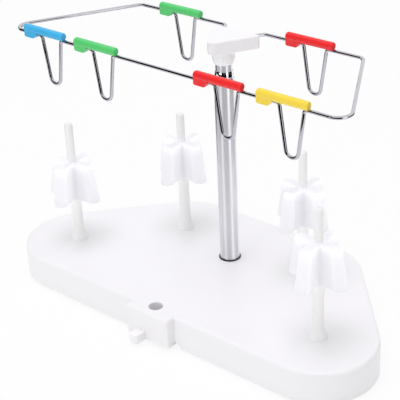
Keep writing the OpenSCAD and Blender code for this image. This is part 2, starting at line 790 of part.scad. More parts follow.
module tapered_clover(z0, z1, inset) {
    translate([0, 0, z0]) linear_extrude(z1 - z0, scale = holder_scale(z1) / holder_scale(z0))
        scale(holder_scale(z0)) clover(inset);
}

// Tapered clover shell, closed at its top, round a hub whose bore follows the pin's own taper
module cone_holder(p, seat, turn) {
    foot_r = pin_r(lowest_seat) + holder_gap;
    top_r = pin_r(lowest_seat + holder_h) + holder_gap;
    hub_r = valley_r - holder_wall / 2;
    hub_h = holder_h - holder_wall / 2;
    color(frosted) stand() translate([p.x, p.y, seat]) rotate(turn) difference() {
        union() {
            difference() {
                tapered_clover(0, holder_h, 0);
                tapered_clover(-past, holder_h - holder_wall, holder_wall);
            }
            cylinder(h = hub_h, r1 = hub_r, r2 = hub_r * holder_scale(hub_h));
        }
        translate([0, 0, -past]) cylinder(h = holder_h + 2 * past, r1 = foot_r, r2 = top_r);
    }
}

module front_left_cone_holder() { cone_holder(front_left, front_left_seat, front_left_turn); }
module front_right_cone_holder() { cone_holder(front_right, front_right_seat, front_right_turn); }
module back_left_cone_holder() { cone_holder(back_left, back_left_seat, back_left_turn); }
module back_right_cone_holder() { cone_holder(back_right, back_right_seat, back_right_turn); }

base_shell();
rubber_feet();
lower_tube();
mast_ring();
mast_plug();
mast_screw();
mast_washer();
middle_tube();
middle_guide_plug();
upper_tube();
upper_guide_plug();
guide_head();
guide_wire();
front_outer_left_clip();
front_inner_left_clip();
front_inner_right_clip();
front_outer_right_clip();
back_left_clip();
back_right_clip();
front_left_spool_pin();
front_right_spool_pin();
back_left_spool_pin();
back_right_spool_pin();
pin_screws();
front_left_cone_holder();
front_right_cone_holder();
back_left_cone_holder();
back_right_cone_holder();
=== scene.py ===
import math

import bmesh
import bpy
from mathutils import Matrix, Vector


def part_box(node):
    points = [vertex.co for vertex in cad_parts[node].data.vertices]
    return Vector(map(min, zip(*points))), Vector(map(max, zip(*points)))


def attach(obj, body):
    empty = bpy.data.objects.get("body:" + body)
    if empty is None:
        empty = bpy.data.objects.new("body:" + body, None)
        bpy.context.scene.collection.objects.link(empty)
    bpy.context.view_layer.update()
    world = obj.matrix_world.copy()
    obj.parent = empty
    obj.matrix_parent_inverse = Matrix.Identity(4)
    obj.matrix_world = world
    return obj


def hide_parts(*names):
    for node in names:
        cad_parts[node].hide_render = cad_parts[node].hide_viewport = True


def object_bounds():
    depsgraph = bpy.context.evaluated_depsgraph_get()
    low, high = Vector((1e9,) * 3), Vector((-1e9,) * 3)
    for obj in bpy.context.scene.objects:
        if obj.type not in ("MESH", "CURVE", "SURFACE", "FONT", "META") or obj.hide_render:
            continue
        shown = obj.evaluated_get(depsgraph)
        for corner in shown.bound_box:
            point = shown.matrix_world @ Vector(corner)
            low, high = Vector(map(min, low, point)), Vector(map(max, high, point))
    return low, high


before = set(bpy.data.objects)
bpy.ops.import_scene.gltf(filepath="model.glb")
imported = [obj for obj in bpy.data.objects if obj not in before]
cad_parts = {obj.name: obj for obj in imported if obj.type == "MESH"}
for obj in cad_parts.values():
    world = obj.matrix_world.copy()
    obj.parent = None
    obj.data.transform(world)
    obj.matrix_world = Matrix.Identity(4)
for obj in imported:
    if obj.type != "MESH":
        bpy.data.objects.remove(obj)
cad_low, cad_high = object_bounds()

# The stand is drawn in millimetres from the mast axis and the base's top, and each finished piece is
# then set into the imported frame, which is in metres.
MM = 0.001
# Points closer than this are taken as one, in millimetres
TINY = 0.01
tube_low, tube_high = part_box("lower_tube")
_, base_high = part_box("base_shell")
mast_place = Vector(((tube_low.x + tube_high.x) / 2, (tube_low.y + tube_high.y) / 2, base_high.z))
into_frame = Matrix.Translation(mast_place) @ Matrix.Scale(MM, 4)


def from_mast(point):
    """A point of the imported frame, in millimetres from the mast axis and the base's top."""
    return (Vector(point) - mast_place) / MM


def node_box(node):
    """A CAD node's lowest and highest corners, in millimetres from the mast axis and the base's top."""
    return [from_mast(corner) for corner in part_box(node)]


# How far a cutting tool reaches past the face it cuts through, in millimetres
OVERCUT = 1
# How far apart the rings of a bend are, in degrees
BEND_STEP = 6

# Sizes, in millimetres
BASE_CORNER_R = 41.5
CORNER_OUT = 1.5
CORNER_BACK = 3
BASE_H = 24.5
BASE_WALL = 2.5
BASE_EDGE_R = 2.5
RIB_T = 2
RIB_H = 8
FOOT_R = 6
FOOT_IN = 1.5
FOOT_OFFSET = 20
BOSS_W = 40
BOSS_REACH = 7.5
BOSS_LIFT = 1.5
BOSS_EDGE_R = 2
FIXING_SETBACK = 11.5
FIXING_R = 2.7
RECESS_R = 5.1
RECESS_H = 13
RECESS_LIP_R = 0.7
TONGUE_W = 8
TONGUE_T = 7
TONGUE_LEN = 9.8
TONGUE_X = -5.5
TONGUE_CORNER_R = 3
TONGUE_EDGE_R = 1
TONGUE_ROOT = 3
RELIEF_W = 7
RELIEF_H = 3.5
SOCKET_WALL = 2.2
SOCKET_FLOOR = 2.4
POST_EDGE_R = 0.5
FIT_GAP = 0.05

PIN_H = 100
PIN_TOP_R = 3.1
PIN_TOP_LEN = 22
PIN_TIP_R = 2.2
PIN_GRIP_R = 4
PIN_GRIP_H = 45
PIN_NECK_R = 4.4
FLARE_R = 6.9
FLARE_H = 13
FLARE_RIM_H = 1.2
PIN_SPIGOT_R = 4.5
PIN_SPIGOT_LEN = 12
PIN_SCREW_R = 1.5
PIN_SCREW_BITE = 10

MAST_DEPTH = 16
MAST_GAP = 0.3
MAST_SOCKET_WALL = 3
MAST_CHAMFER = 0.5
MAST_SCREW_R = 2
RING_W = 0.9
RING_H = 0.8
RING_EDGE_R = 0.35
TUBE_WALL = 0.4
MOUTH_LEN = 4
MOUTH_GAP = 0.1
MOUTH_LIP = 0.2

HOLDER_H = 29.5
HOLDER_WALL = 1.2
HOLDER_TAPER = 0.78
LOBE_OFFSET = 17.9
LOBE_R = 5.2
LOBE_ARM_HALF = 4.4
VALLEY_BLEND_R = 3
HOLDER_EDGE_R = 0.9
HUB_R = 6.4
HOLDER_BORE_FOOT_R = 4.39
HOLDER_BORE_TOP_R = 3.69

HEAD_NOSE = 14.4
NOSE_R = 5
HEAD_BACK = 17
HEAD_W = 40
HEAD_CORNER_R = 2
HEAD_H = 9.5
HEAD_EDGE_R = 0.9
COLLAR_H = 10
COLLAR_R = 8.2
COLLAR_FOOT_R = 6.6
COLLAR_SWELL_H = 6
COLLAR_ROOT = 2
HEAD_ROOF = 5
HEAD_BORE_R = 6.1

WIRE_R = 1.25
WIRE_DROP = 2.4
RAIL_FRONT = 65.2
RAIL_BACK = 25
FRONT_RAIL_LEN = 298
BACK_RAIL_LEN = 199
FRONT_CORNER_R = 9
BACK_CORNER_R = 6
EYELET_W = 19.1
EYELET_H = 34.9
EYELET_R = 5.1
SHOULDER_R = 2.5
TAIL_X = 18
TAIL_ENTRY_X = 12.2
TAIL_DEPTH = 8

CLIP_R = 3
CLIP_RISE = 3
CLIP_LEFT = 26.2
CLIP_RIGHT = 12.8
BACK_CLIP_SHIFT = 2.5
CLIP_END_R = 1.2
LUG_T = 5.4
LUG_DROP = 3.3
LUG_LEN = 9.2
LUG_SETBACK = 0.3
LUG_START = 2
LUG_SLANT = 2.8
LUG_CORNER_R = 1.4
LUG_EDGE_R = 0.8
LUG_BLEND_R = 1.2
LUG_SOFT_R = 0.5

# Places in plan
PIN_NAMES = ("front_left", "front_right", "back_right", "back_left")


def pin_place(name):
    """The middle of a spool pin."""
    low, high = node_box(name + "_spool_pin")
    return (low + high) / 2


pins = {name: pin_place(name) for name in PIN_NAMES}
# How far each holder is turned on its pin, in degrees
HOLDER_TURNS = {"front_left": 7, "front_right": -1, "back_right": -6, "back_left": -2}
corners = [
    (p.x + math.copysign(CORNER_OUT, p.x), p.y + (CORNER_BACK if p.y > 0 else 0), BASE_CORNER_R)
    for p in pins.values()
]
wall_front = pins["front_left"].y - BASE_CORNER_R
base_back = pins["back_left"].y + CORNER_BACK + BASE_CORNER_R
boss_foot = BOSS_LIFT - BASE_H
boss_front = wall_front - BOSS_REACH
fixing_y = boss_front + FIXING_SETBACK
boss_back = fixing_y + RECESS_R + BASE_WALL
feet = [(p.x + math.copysign(FOOT_OFFSET, p.x), p.y + math.copysign(FOOT_OFFSET, p.y)) for p in pins.values()]
_, head_high = node_box("guide_head")
head_foot_z = head_high.z - HEAD_H
rail_z = head_high.z - WIRE_DROP
mast_r = (tube_high.x - tube_low.x) / 2 / MM


# Helpers for modelling by operators

def idle():
    """Back to object mode with nothing selected, so that an operator acts on its own piece only."""
    if bpy.context.mode != "OBJECT":
        bpy.ops.object.mode_set(mode="OBJECT")
    bpy.ops.object.select_all(action="DESELECT")


def take(*pieces):
    """Selects these pieces alone, with the first one active."""
    idle()
    for piece in pieces:
        piece.select_set(True)
    bpy.context.view_layer.objects.active = pieces[0]


def placed():
    """The piece that an operator has just added, with its place moved into its mesh."""
    bpy.ops.object.transform_apply()
    return bpy.context.object


def edit(piece):
    """Opens a piece in edit mode with all of it selected."""
    take(piece)
    bpy.ops.object.mode_set(mode="EDIT")
    bpy.ops.mesh.select_all(action="SELECT")


def pick(kind, test):
    """Selects, in edit mode, only the vertices, edges or faces that pass a test."""
    bpy.context.tool_settings.mesh_select_mode = [kind == each for each in ("verts", "edges", "faces")]
    bpy.ops.mesh.select_all(action="DESELECT")
    mesh = bmesh.from_edit_mesh(bpy.context.edit_object.data)
    for part in getattr(mesh, kind):
        if test(part):
            part.select_set(True)
    mesh.select_flush_mode()
    bmesh.update_edit_mesh(bpy.context.edit_object.data)


def draw_out(step):
    """Extrudes what is selected by a step."""
    bpy.ops.mesh.extrude_region_move(TRANSFORM_OT_translate={"value": tuple(step)})


def draw_round(centre, axis, turn):
    """Spins what is selected round an axis, by the right-hand rule, by a turn in degrees."""
    steps = math.ceil(abs(turn) / BEND_STEP)
    bpy.ops.mesh.spin(steps=steps, angle=-math.radians(turn), center=tuple(centre), axis=tuple(axis))


def draw_along(path):
    """Draws what is selected along a path of (corner, bend radius), spinning it round each bend."""
    here = path[0][0]
    for (before, _), (corner, radius), (after, _) in zip(path, path[1:], path[2:]):
        way_in = (corner - before).normalized()
        way_out = (after - corner).normalized()
        turn = way_in.angle(way_out)
        run = radius * math.tan(turn / 2)
        draw_out(corner - run * way_in - here)
        if radius:
            inward = (way_out - way_out.dot(way_in) * way_in).normalized()
            draw_round(corner - run * way_in + radius * inward, way_in.cross(way_out), math.degrees(turn))
        here = corner + run * way_out
    draw_out(path[-1][0] - here)


def start_point(place):
    """A new piece that is one picked vertex, ready to be drawn along a path."""
    idle()
    bpy.ops.mesh.primitive_plane_add(size=1, location=place)
    piece = placed()
    edit(piece)
    bpy.ops.mesh.merge(type="CENTER")
    pick("verts", lambda v: True)
    return piece


def middle(edge):
    """The middle of an edge."""
    return (edge.verts[0].co + edge.verts[1].co) / 2


def lies_at(edge, axis, place):
    """True for an edge whose two ends are both at a place along an axis (0, 1 or 2)."""
    return all(abs(v.co[axis] - place) < TINY for v in edge.verts)


def round_edges(piece, test, radius, segments=5):
    """Rounds the edges of a piece that pass a test."""
    edit(piece)
    pick("edges", test)
    bpy.ops.mesh.bevel(offset=radius, segments=segments, affect="EDGES")
    idle()


def combine(piece, tool, operation):
    """Joins a tool to a piece (UNION) or cuts it out (DIFFERENCE), and removes the tool."""
    take(piece)
    step = piece.modifiers.new(operation.lower(), "BOOLEAN")
    step.object = tool
    step.operation = operation
    step.solver = "EXACT"
    bpy.ops.object.modifier_apply(modifier=step.name)
    bpy.data.objects.remove(tool)


def box(low, high):
    """A block between two corners."""
    low, high = Vector(low), Vector(high)
    idle()
    bpy.ops.mesh.primitive_cube_add(size=1, location=(low + high) / 2, scale=high - low)
    return placed()


def bar(start, end, radius, sides=48):
    """A round bar between two points."""
    start, end = Vector(start), Vector(end)
    along = end - start
    idle()
    bpy.ops.mesh.primitive_cylinder_add(
        vertices=sides, radius=radius, depth=along.length, location=(start + end) / 2,
        rotation=along.to_track_quat("Z", "Y").to_euler(),
    )
    return placed()


def turned(x, y, profile, sides=96, solid=True):
    """A piece turned about an upright axis: a ring drawn along a profile of (radius, height).

    A solid starts from a filled disc; a ring or tube has a profile that comes back to its first point.
    """
    radius, height = profile[0]
    idle()
    bpy.ops.mesh.primitive_circle_add(
        vertices=sides, radius=radius, fill_type="NGON" if solid else "NOTHING", location=(x, y, height)
    )
    piece = placed()
    edit(piece)
    for next_radius, next_height in profile[1:]:
        draw_out((0, 0, next_height - height))
        share = next_radius / radius
        bpy.ops.transform.resize(value=(share, share, 1), center_override=(x, y, next_height))
        radius, height = next_radius, next_height
    bpy.ops.mesh.select_all(action="SELECT")
    bpy.ops.mesh.remove_doubles(threshold=TINY / 10)
    bpy.ops.mesh.normals_make_consistent(inside=False)
    idle()
    return piece


def arc(centre_r, centre_z, radius, start, end, steps):
    """Points (radius, height) of a round edge in a turned profile, between two angles in degrees."""
    angles = [math.radians(start + (end - start) * k / steps) for k in range(steps + 1)]
    return [(centre_r + radius * math.cos(a), centre_z + radius * math.sin(a)) for a in angles]


def wrapped_pucks(pucks, low, high, upper_edge_r, lower_edge_r, sides=96):
    """A block drawn tightly round upright pucks (x, y, radius), with its upper and lower edges rounded."""
    made = []
    for x, y, radius in pucks:
        puck = bar((x, y, low), (x, y, high), radius, sides)
        for level, edge_r in ((high, upper_edge_r), (low, lower_edge_r)):
            if edge_r:
                round_edges(puck, lambda e: lies_at(e, 2, level), edge_r, segments=6)
        made.append(puck)
    take(*made)
    bpy.ops.object.join()
    edit(made[0])
    bpy.ops.mesh.convex_hull(join_triangles=False)
    bpy.ops.mesh.select_all(action="SELECT")
    bpy.ops.mesh.dissolve_limited(angle_limit=math.radians(0.1))
    idle()
    return made[0]


def copied(piece):
    """A copy of a piece with a mesh of its own."""
    take(piece)
    bpy.ops.object.duplicate(linked=False)
    return bpy.context.object


def moved(piece, step):
    """Moves a piece, and puts its new place in its mesh."""
    take(piece)
    bpy.ops.transform.translate(value=tuple(step))
    bpy.ops.object.transform_apply()
    return piece


def completed(piece, name, body, material, nodes, smooth=35):
    """Cleans and shades a piece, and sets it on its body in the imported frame, in place of its CAD nodes."""
    edit(piece)
    bpy.ops.mesh.remove_doubles(threshold=TINY / 10)
    bpy.ops.mesh.normals_make_consistent(inside=False)
    take(piece)
    piece.matrix_world = into_frame
    bpy.ops.object.transform_apply()
    bpy.ops.object.shade_smooth_by_angle(angle=math.radians(smooth))
    even = piece.modifiers.new("even_normals", "WEIGHTED_NORMAL")
    even.keep_sharp = True
    bpy.ops.object.modifier_apply(modifier=even.name)
    piece.name = piece.data.name = name
    piece.data.materials.clear()
    piece.data.materials.append(material)
    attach(piece, body)
    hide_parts(*nodes)


# Materials

def linear(hex_colour):
    """An sRGB hex colour as linear RGBA."""
    parts = [int(hex_colour[i:i + 2], 16) / 255 for i in (1, 3, 5)]
    return [p / 12.92 if p <= 0.04045 else ((p + 0.055) / 1.055) ** 2.4 for p in parts] + [1]


def add(tree, kind, sockets=None, **settings):
    """Adds a node with its settings; each socket takes a value or another node's output."""
    made = tree.nodes.new(kind)
    for name, value in settings.items():
        setattr(made, name, value)
    for key, value in (sockets or {}).items():
        if isinstance(value, bpy.types.NodeSocket):
            tree.links.new(value, made.inputs[key])
        else:
            made.inputs[key].default_value = value
    return made


def blank(name):
    """A new material without nodes, and its tree."""
    made = bpy.data.materials.new(name)
    made.use_nodes = True
    made.node_tree.nodes.clear()
    return made, made.node_tree


# Size of the faint flow clouds in moulded plastic, in millimetres
CLOUD_MM = 35


def moulded_plastic(name, light, dark, roughness, ior, grain_mm=0.7, grain=0.02):
    """Injection-moulded plastic: an even satin colour, faint flow clouds, and the grain of the mould.

    The grain is drawn coarser than a mould leaves it, so that it shows.
    """
    made, tree = blank(name)
    place = add(tree, "ShaderNodeTexCoord").outputs["Object"]
    clouds = add(tree, "ShaderNodeTexNoise", {"Vector": place, "Scale": 1 / (CLOUD_MM * MM), "Detail": 2})
    colour = add(
        tree, "ShaderNodeMix", {0: clouds.outputs[0], 6: linear(dark), 7: linear(light)}, data_type="RGBA"
    )
    polish = add(tree, "ShaderNodeMapRange", {
        "Value": clouds.outputs[0], "To Min": roughness - 0.04, "To Max": roughness + 0.04,
    })
    mould = add(tree, "ShaderNodeTexNoise", {"Vector": place, "Scale": 1 / (grain_mm * MM), "Detail": 3})
    bump = add(tree, "ShaderNodeBump", {"Height": mould.outputs[0], "Strength": grain, "Distance": 0.1 * MM})
    skin = add(tree, "ShaderNodeBsdfPrincipled", {
        "Base Color": colour.outputs[2], "Roughness": polish.outputs[0], "IOR": ior,
        "Normal": bump.outputs[0],
    })
    add(tree, "ShaderNodeOutputMaterial", {"Surface": skin.outputs[0]})
    return made


def milky_plastic(name, light, dark, roughness, ior, through):
    """Thin natural plastic: a satin skin, with most of the light scattered through to its other side."""
    made, tree = blank(name)
    place = add(tree, "ShaderNodeTexCoord").outputs["Object"]
    clouds = add(tree, "ShaderNodeTexNoise", {"Vector": place, "Scale": 1 / (CLOUD_MM * MM), "Detail": 2})
    colour = add(
        tree, "ShaderNodeMix", {0: clouds.outputs[0], 6: linear(dark), 7: linear(light)}, data_type="RGBA"
    )
    skin = add(tree, "ShaderNodeBsdfPrincipled", {
        "Base Color": colour.outputs[2], "Roughness": roughness, "IOR": ior,
    })
    glow = add(tree, "ShaderNodeBsdfTranslucent", {"Color": colour.outputs[2]})
    both = add(tree, "ShaderNodeMixShader", {0: through, 1: skin.outputs[0], 2: glow.outputs[0]})
    add(tree, "ShaderNodeOutputMaterial", {"Surface": both.outputs[0]})
    return made


def plated_metal(name, light, dark, roughness, grain_mm, grain=0, **extra):
    """Plated steel: a metal mirror whose tone and polish vary a little, with a bumpy grain on some pieces."""
    made, tree = blank(name)
    place = add(tree, "ShaderNodeTexCoord").outputs["Object"]
    cloud = add(tree, "ShaderNodeTexNoise", {"Vector": place, "Scale": 1 / (grain_mm * MM), "Detail": 2})
    colour = add(
        tree, "ShaderNodeMix", {0: cloud.outputs[0], 6: linear(dark), 7: linear(light)}, data_type="RGBA"
    )
    polish = add(tree, "ShaderNodeMapRange", {
        "Value": cloud.outputs[0], "To Min": roughness * 0.7, "To Max": roughness * 1.3,
    })
    bump = add(tree, "ShaderNodeBump", {"Height": cloud.outputs[0], "Strength": grain, "Distance": 0.02 * MM})
    skin = add(tree, "ShaderNodeBsdfPrincipled", {
        "Base Color": colour.outputs[2], "Metallic": 1, "Roughness": polish.outputs[0],
        "Normal": bump.outputs[0], **extra,
    })
    upright = add(tree, "ShaderNodeCombineXYZ", {"Z": 1})
    tree.links.new(upright.outputs[0], skin.inputs["Tangent"])
    add(tree, "ShaderNodeOutputMaterial", {"Surface": skin.outputs[0]})
    return made


# Moulded ABS: bright cool white with a soft satin shine
white_abs = moulded_plastic("white_abs", "#FAF9FB", "#F8F7F9", 0.34, 1.53)
# Moulded polystyrene: a slightly warmer white, a little glossier than the base
pin_polystyrene = moulded_plastic("pin_polystyrene", "#FDFDFC", "#FBFBFA", 0.3, 1.59)
# Natural polypropylene: milky and bright, because its thin walls let most of the light through
frosted_polypropylene = milky_plastic("frosted_polypropylene", "#FDFDFE", "#FCFCFD", 0.3, 1.49, 0.97)
# Dyed polypropylene: strong plain colours with a waxy shine
blue_polypropylene = moulded_plastic("blue_polypropylene", "#48BDF0", "#3FB4EA", 0.3, 1.49)
green_polypropylene = moulded_plastic("green_polypropylene", "#60D97C", "#57D072", 0.3, 1.49)
red_polypropylene = moulded_plastic("red_polypropylene", "#FB2A2E", "#F52327", 0.3, 1.49)
yellow_polypropylene = moulded_plastic("yellow_polypropylene", "#FFE452", "#FFDC46", 0.3, 1.49)
# Moulded nylon: near black and matt, for the sliding guides
black_nylon = moulded_plastic("black_nylon", "#3A3A3D", "#2C2C2F", 0.55, 1.53, grain=0.1)
# Moulded rubber: black, matt and slightly grainy, for the feet; it also darkens the ring at the mast's foot,
# which is painted shade
black_rubber = moulded_plastic("black_rubber", "#2E2E30", "#232325", 0.75, 1.52, grain_mm=0.4, grain=0.3)
# Chrome on ground tube: a pale mirror whose fine rings, too fine to draw, pull each light out along the tube
chromed_tube = plated_metal("chromed_tube", "#FAFAFE", "#F5F5F9", 0.4, 40, Anisotropic=0.9)
# Chrome on a rolled mouth: burnished by the roller, so it mirrors sharply
burnished_mouth = plated_metal("burnished_mouth", "#F3F3F7", "#EEEEF2", 0.08, 40)
# Chrome on bent wire: a slightly darker mirror, sharp because drawn wire is smooth
chromed_wire = plated_metal("chromed_wire", "#CACAD1", "#C2C2C9", 0.06, 20)
# Zinc on steel screws: a duller grey metal with a tumbled grain, drawn coarse so that it shows
zinc_steel = plated_metal("zinc_steel", "#B9BCC1", "#A4A7AD", 0.32, 0.5, grain=0.2)

for node, material in {
    "rubber_feet": black_rubber,
    "mast_plug": zinc_steel, "mast_screw": zinc_steel, "mast_washer": zinc_steel, "pin_screws": zinc_steel,
    "middle_guide_plug": black_nylon, "upper_guide_plug": black_nylon,
}.items():
    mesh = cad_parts[node].data
    mesh.materials.clear()
    mesh.materials.append(material)


# Pieces

def base_moulding():
    """The base: a hollow block with round corners, ribs, sockets, foot posts, a boss and a hook tongue."""
    below = -BASE_H - OVERCUT
    inner = [(x, y, r - BASE_WALL) for x, y, r in corners]
    base = wrapped_pucks(corners, -BASE_H, 0, BASE_EDGE_R, 0)
    combine(base, wrapped_pucks(inner, below, -BASE_WALL, 0, 0), "DIFFERENCE")

    arch_r = (RELIEF_W ** 2 + RELIEF_H ** 2) / (2 * RELIEF_H)
    arch_z = -BASE_H + RELIEF_H - arch_r
    wall_out, wall_in = wall_front - OVERCUT, wall_front + BASE_WALL + OVERCUT
    for x in (-BOSS_W / 2, BOSS_W / 2):
        combine(base, bar((x, wall_out, arch_z), (x, wall_in, arch_z), arch_r, sides=192), "DIFFERENCE")
    rim = box((-BOSS_W / 2, wall_out, below), (BOSS_W / 2, wall_in, boss_foot))
    combine(base, rim, "DIFFERENCE")

    rib_top = -BASE_WALL / 2
    rib_foot = -BASE_WALL - RIB_H
    combine(base, box(
        (-RIB_T / 2, wall_front + BASE_WALL / 2, rib_foot), (RIB_T / 2, base_back - BASE_WALL / 2, rib_top)
    ), "UNION")
    for p in pins.values():
        rib = box((0, -RIB_T / 2, rib_foot), (math.hypot(p.x, p.y), RIB_T / 2, rib_top))
        rib.rotation_euler.z = math.atan2(p.y, p.x)
        combine(base, rib, "UNION")

    mast_bore_r = mast_r + MAST_GAP
    pin_bore_r = PIN_SPIGOT_R + FIT_GAP
    foot_bore_r = FOOT_R + FIT_GAP
    mast_socket_z = -MAST_DEPTH - SOCKET_FLOOR
    pin_socket_z = -PIN_SPIGOT_LEN - SOCKET_FLOOR
    combine(base, post(0, 0, mast_bore_r + MAST_SOCKET_WALL, mast_socket_z, rib_top), "UNION")
    for p in pins.values():
        combine(base, post(p.x, p.y, pin_bore_r + SOCKET_WALL, pin_socket_z, rib_top), "UNION")
    for x, y in feet:
        combine(base, post(x, y, foot_bore_r + SOCKET_WALL, -BASE_H, rib_top), "UNION")

    def boss_front_edge(edge):
        return middle(edge).z > boss_foot + TINY and middle(edge).y < boss_back - TINY

    boss = box((-BOSS_W / 2, boss_front, boss_foot), (BOSS_W / 2, boss_back, 0))
    round_edges(boss, boss_front_edge, BOSS_EDGE_R)
    combine(base, boss, "UNION")

    tongue_left = TONGUE_X - TONGUE_W / 2
    tongue_top = boss_foot + TONGUE_T
    tongue_tip = boss_front - TONGUE_LEN
    tongue_root = boss_front + TONGUE_ROOT

    def tip_corner(edge):
        return lies_at(edge, 1, tongue_tip) and lies_at(edge, 0, edge.verts[0].co.x)

    def tongue_rim(edge):
        return lies_at(edge, 2, tongue_top) and middle(edge).y < tongue_root - TINY

    tongue = box((tongue_left, tongue_tip, boss_foot), (tongue_left + TONGUE_W, tongue_root, tongue_top))
    round_edges(tongue, tip_corner, TONGUE_CORNER_R)
    round_edges(tongue, tongue_rim, TONGUE_EDGE_R)
    combine(base, tongue, "UNION")

    mast_screw_r = MAST_SCREW_R + FIT_GAP
    mast_mouth_r = mast_bore_r + MAST_CHAMFER
    combine(base, turned(0, 0, [
        (mast_screw_r, below), (mast_screw_r, -MAST_DEPTH), (mast_bore_r, -MAST_DEPTH),
        (mast_bore_r, -MAST_CHAMFER), (mast_mouth_r, 0), (mast_mouth_r, OVERCUT),
    ]), "DIFFERENCE")
    pin_screw_r = PIN_SCREW_R + FIT_GAP
    for p in pins.values():
        combine(base, turned(p.x, p.y, [
            (pin_screw_r, below), (pin_screw_r, -PIN_SPIGOT_LEN),
            (pin_bore_r, -PIN_SPIGOT_LEN), (pin_bore_r, OVERCUT),
        ], sides=48), "DIFFERENCE")
    for x, y in feet:
        combine(base, bar((x, y, below), (x, y, -BASE_H + FOOT_IN), foot_bore_r, sides=64), "DIFFERENCE")
    recess_mouth_r = RECESS_R + RECESS_LIP_R
    combine(base, turned(0, fixing_y, [
        (FIXING_R, below), (FIXING_R, -RECESS_H), (RECESS_R, -RECESS_H),
        *arc(recess_mouth_r, -RECESS_LIP_R, RECESS_LIP_R, 180, 90, 5), (recess_mouth_r, OVERCUT),
    ]), "DIFFERENCE")
    completed(base, "base_moulding", "stand", white_abs, ["base_shell"])


def spool_pins():
    """Four turned pins: a spigot, a hollow flare, a slow taper and a straight top with a round tip."""
    rise = FLARE_H - FLARE_RIM_H
    spread = FLARE_R - PIN_NECK_R
    hollow_r = (spread ** 2 + rise ** 2) / (2 * spread)
    reach = math.degrees(math.asin(rise / hollow_r))
    tip_z = PIN_H - PIN_TIP_R
    profile = [
        (PIN_SPIGOT_R, -PIN_SPIGOT_LEN), (PIN_SPIGOT_R, 0), (FLARE_R, 0),
        *arc(PIN_NECK_R + hollow_r, FLARE_H, hollow_r, 180 + reach, 180, 12),
        (PIN_GRIP_R, PIN_GRIP_H), (PIN_TOP_R, PIN_H - PIN_TOP_LEN),
        *arc(PIN_TOP_R - PIN_TIP_R, tip_z, PIN_TIP_R, 0, 90, 8),
    ]
    pattern = turned(0, 0, profile)
    hole_low, hole_high = -PIN_SPIGOT_LEN - OVERCUT, PIN_SCREW_BITE - PIN_SPIGOT_LEN
    combine(pattern, bar((0, 0, hole_low), (0, 0, hole_high), PIN_SCREW_R + FIT_GAP), "DIFFERENCE")
    for name, p in pins.items():
        pin = moved(copied(pattern), (p.x, p.y, 0))
        completed(pin, name + "_pin", "stand", pin_polystyrene, [name + "_spool_pin"])
    bpy.data.objects.remove(pattern)


def mast_tube(name, node, body, next_node):
    """A drawn tube whose mouth is rolled in, in a long soft curve, to run on the next tube."""
    low, high = node_box(node)
    radius = (high.x - low.x) / 2
    inside = radius - TUBE_WALL
    outer = [(radius, low.z)]
    inner = [(inside, low.z)]
    if next_node:
        next_low, next_high = node_box(next_node)
        mouth_r = (next_high.x - next_low.x) / 2 + MOUTH_GAP
        drop = radius - mouth_r - MOUTH_LIP
        curve_r = (drop ** 2 + MOUTH_LEN ** 2) / (2 * drop)
        reach = math.degrees(math.asin(MOUTH_LEN / curve_r))
        neck = high.z - MOUTH_LEN
        outer += arc(radius - curve_r, neck, curve_r, 0, reach, 12)
        inner += [(inside, neck - TUBE_WALL), (mouth_r, neck), (mouth_r, high.z)]
    else:
        outer.append((radius, high.z))
        inner.append((inside, high.z))
    tube = turned(0, 0, [*outer, *reversed(inner), outer[0]], solid=False)
    completed(tube, name, body, chromed_tube, [node])
    if next_node:
        tube.data.materials.append(burnished_mouth)
        neck_z = mast_place.z + neck * MM
        for face in tube.data.polygons:
            if face.center.z > neck_z:
                face.material_index = 1


def mast_tubes():
    """The three tubes of the mast, each of which runs in the one below."""
    mast_tube("lower_mast_tube", "lower_tube", "stand", "middle_tube")
    mast_tube("middle_mast_tube", "middle_tube", "mast_middle", "upper_tube")
    mast_tube("upper_mast_tube", "upper_tube", "mast_upper", None)


def painted_shade_ring():
    """A soft-edged black ring on the base's top, round the mast's foot: painted shade, a dark ring that draws
    the shadow line at the mast's foot.
    """
    inside = mast_r + FIT_GAP
    outside = inside + RING_W
    ring = turned(0, 0, [
        (inside, 0), (outside, 0), *arc(outside - RING_EDGE_R, RING_H - RING_EDGE_R, RING_EDGE_R, 0, 90, 5),
        (inside, RING_H), (inside, 0),
    ], solid=False)
    completed(ring, "painted_shade_ring", "stand", black_rubber, ["mast_ring"])


def post(x, y, radius, low, high):
    """A round post under the base, with its lower edge softened."""
    edge = arc(radius - POST_EDGE_R, low + POST_EDGE_R, POST_EDGE_R, -90, 0, 3)
    return turned(x, y, [*edge, (radius, high)], sides=64)


def holder_scale(z):
    """A holder's size at a height above its foot, as a share of its foot."""
    return 1 - (1 - HOLDER_TAPER) * z / HOLDER_H


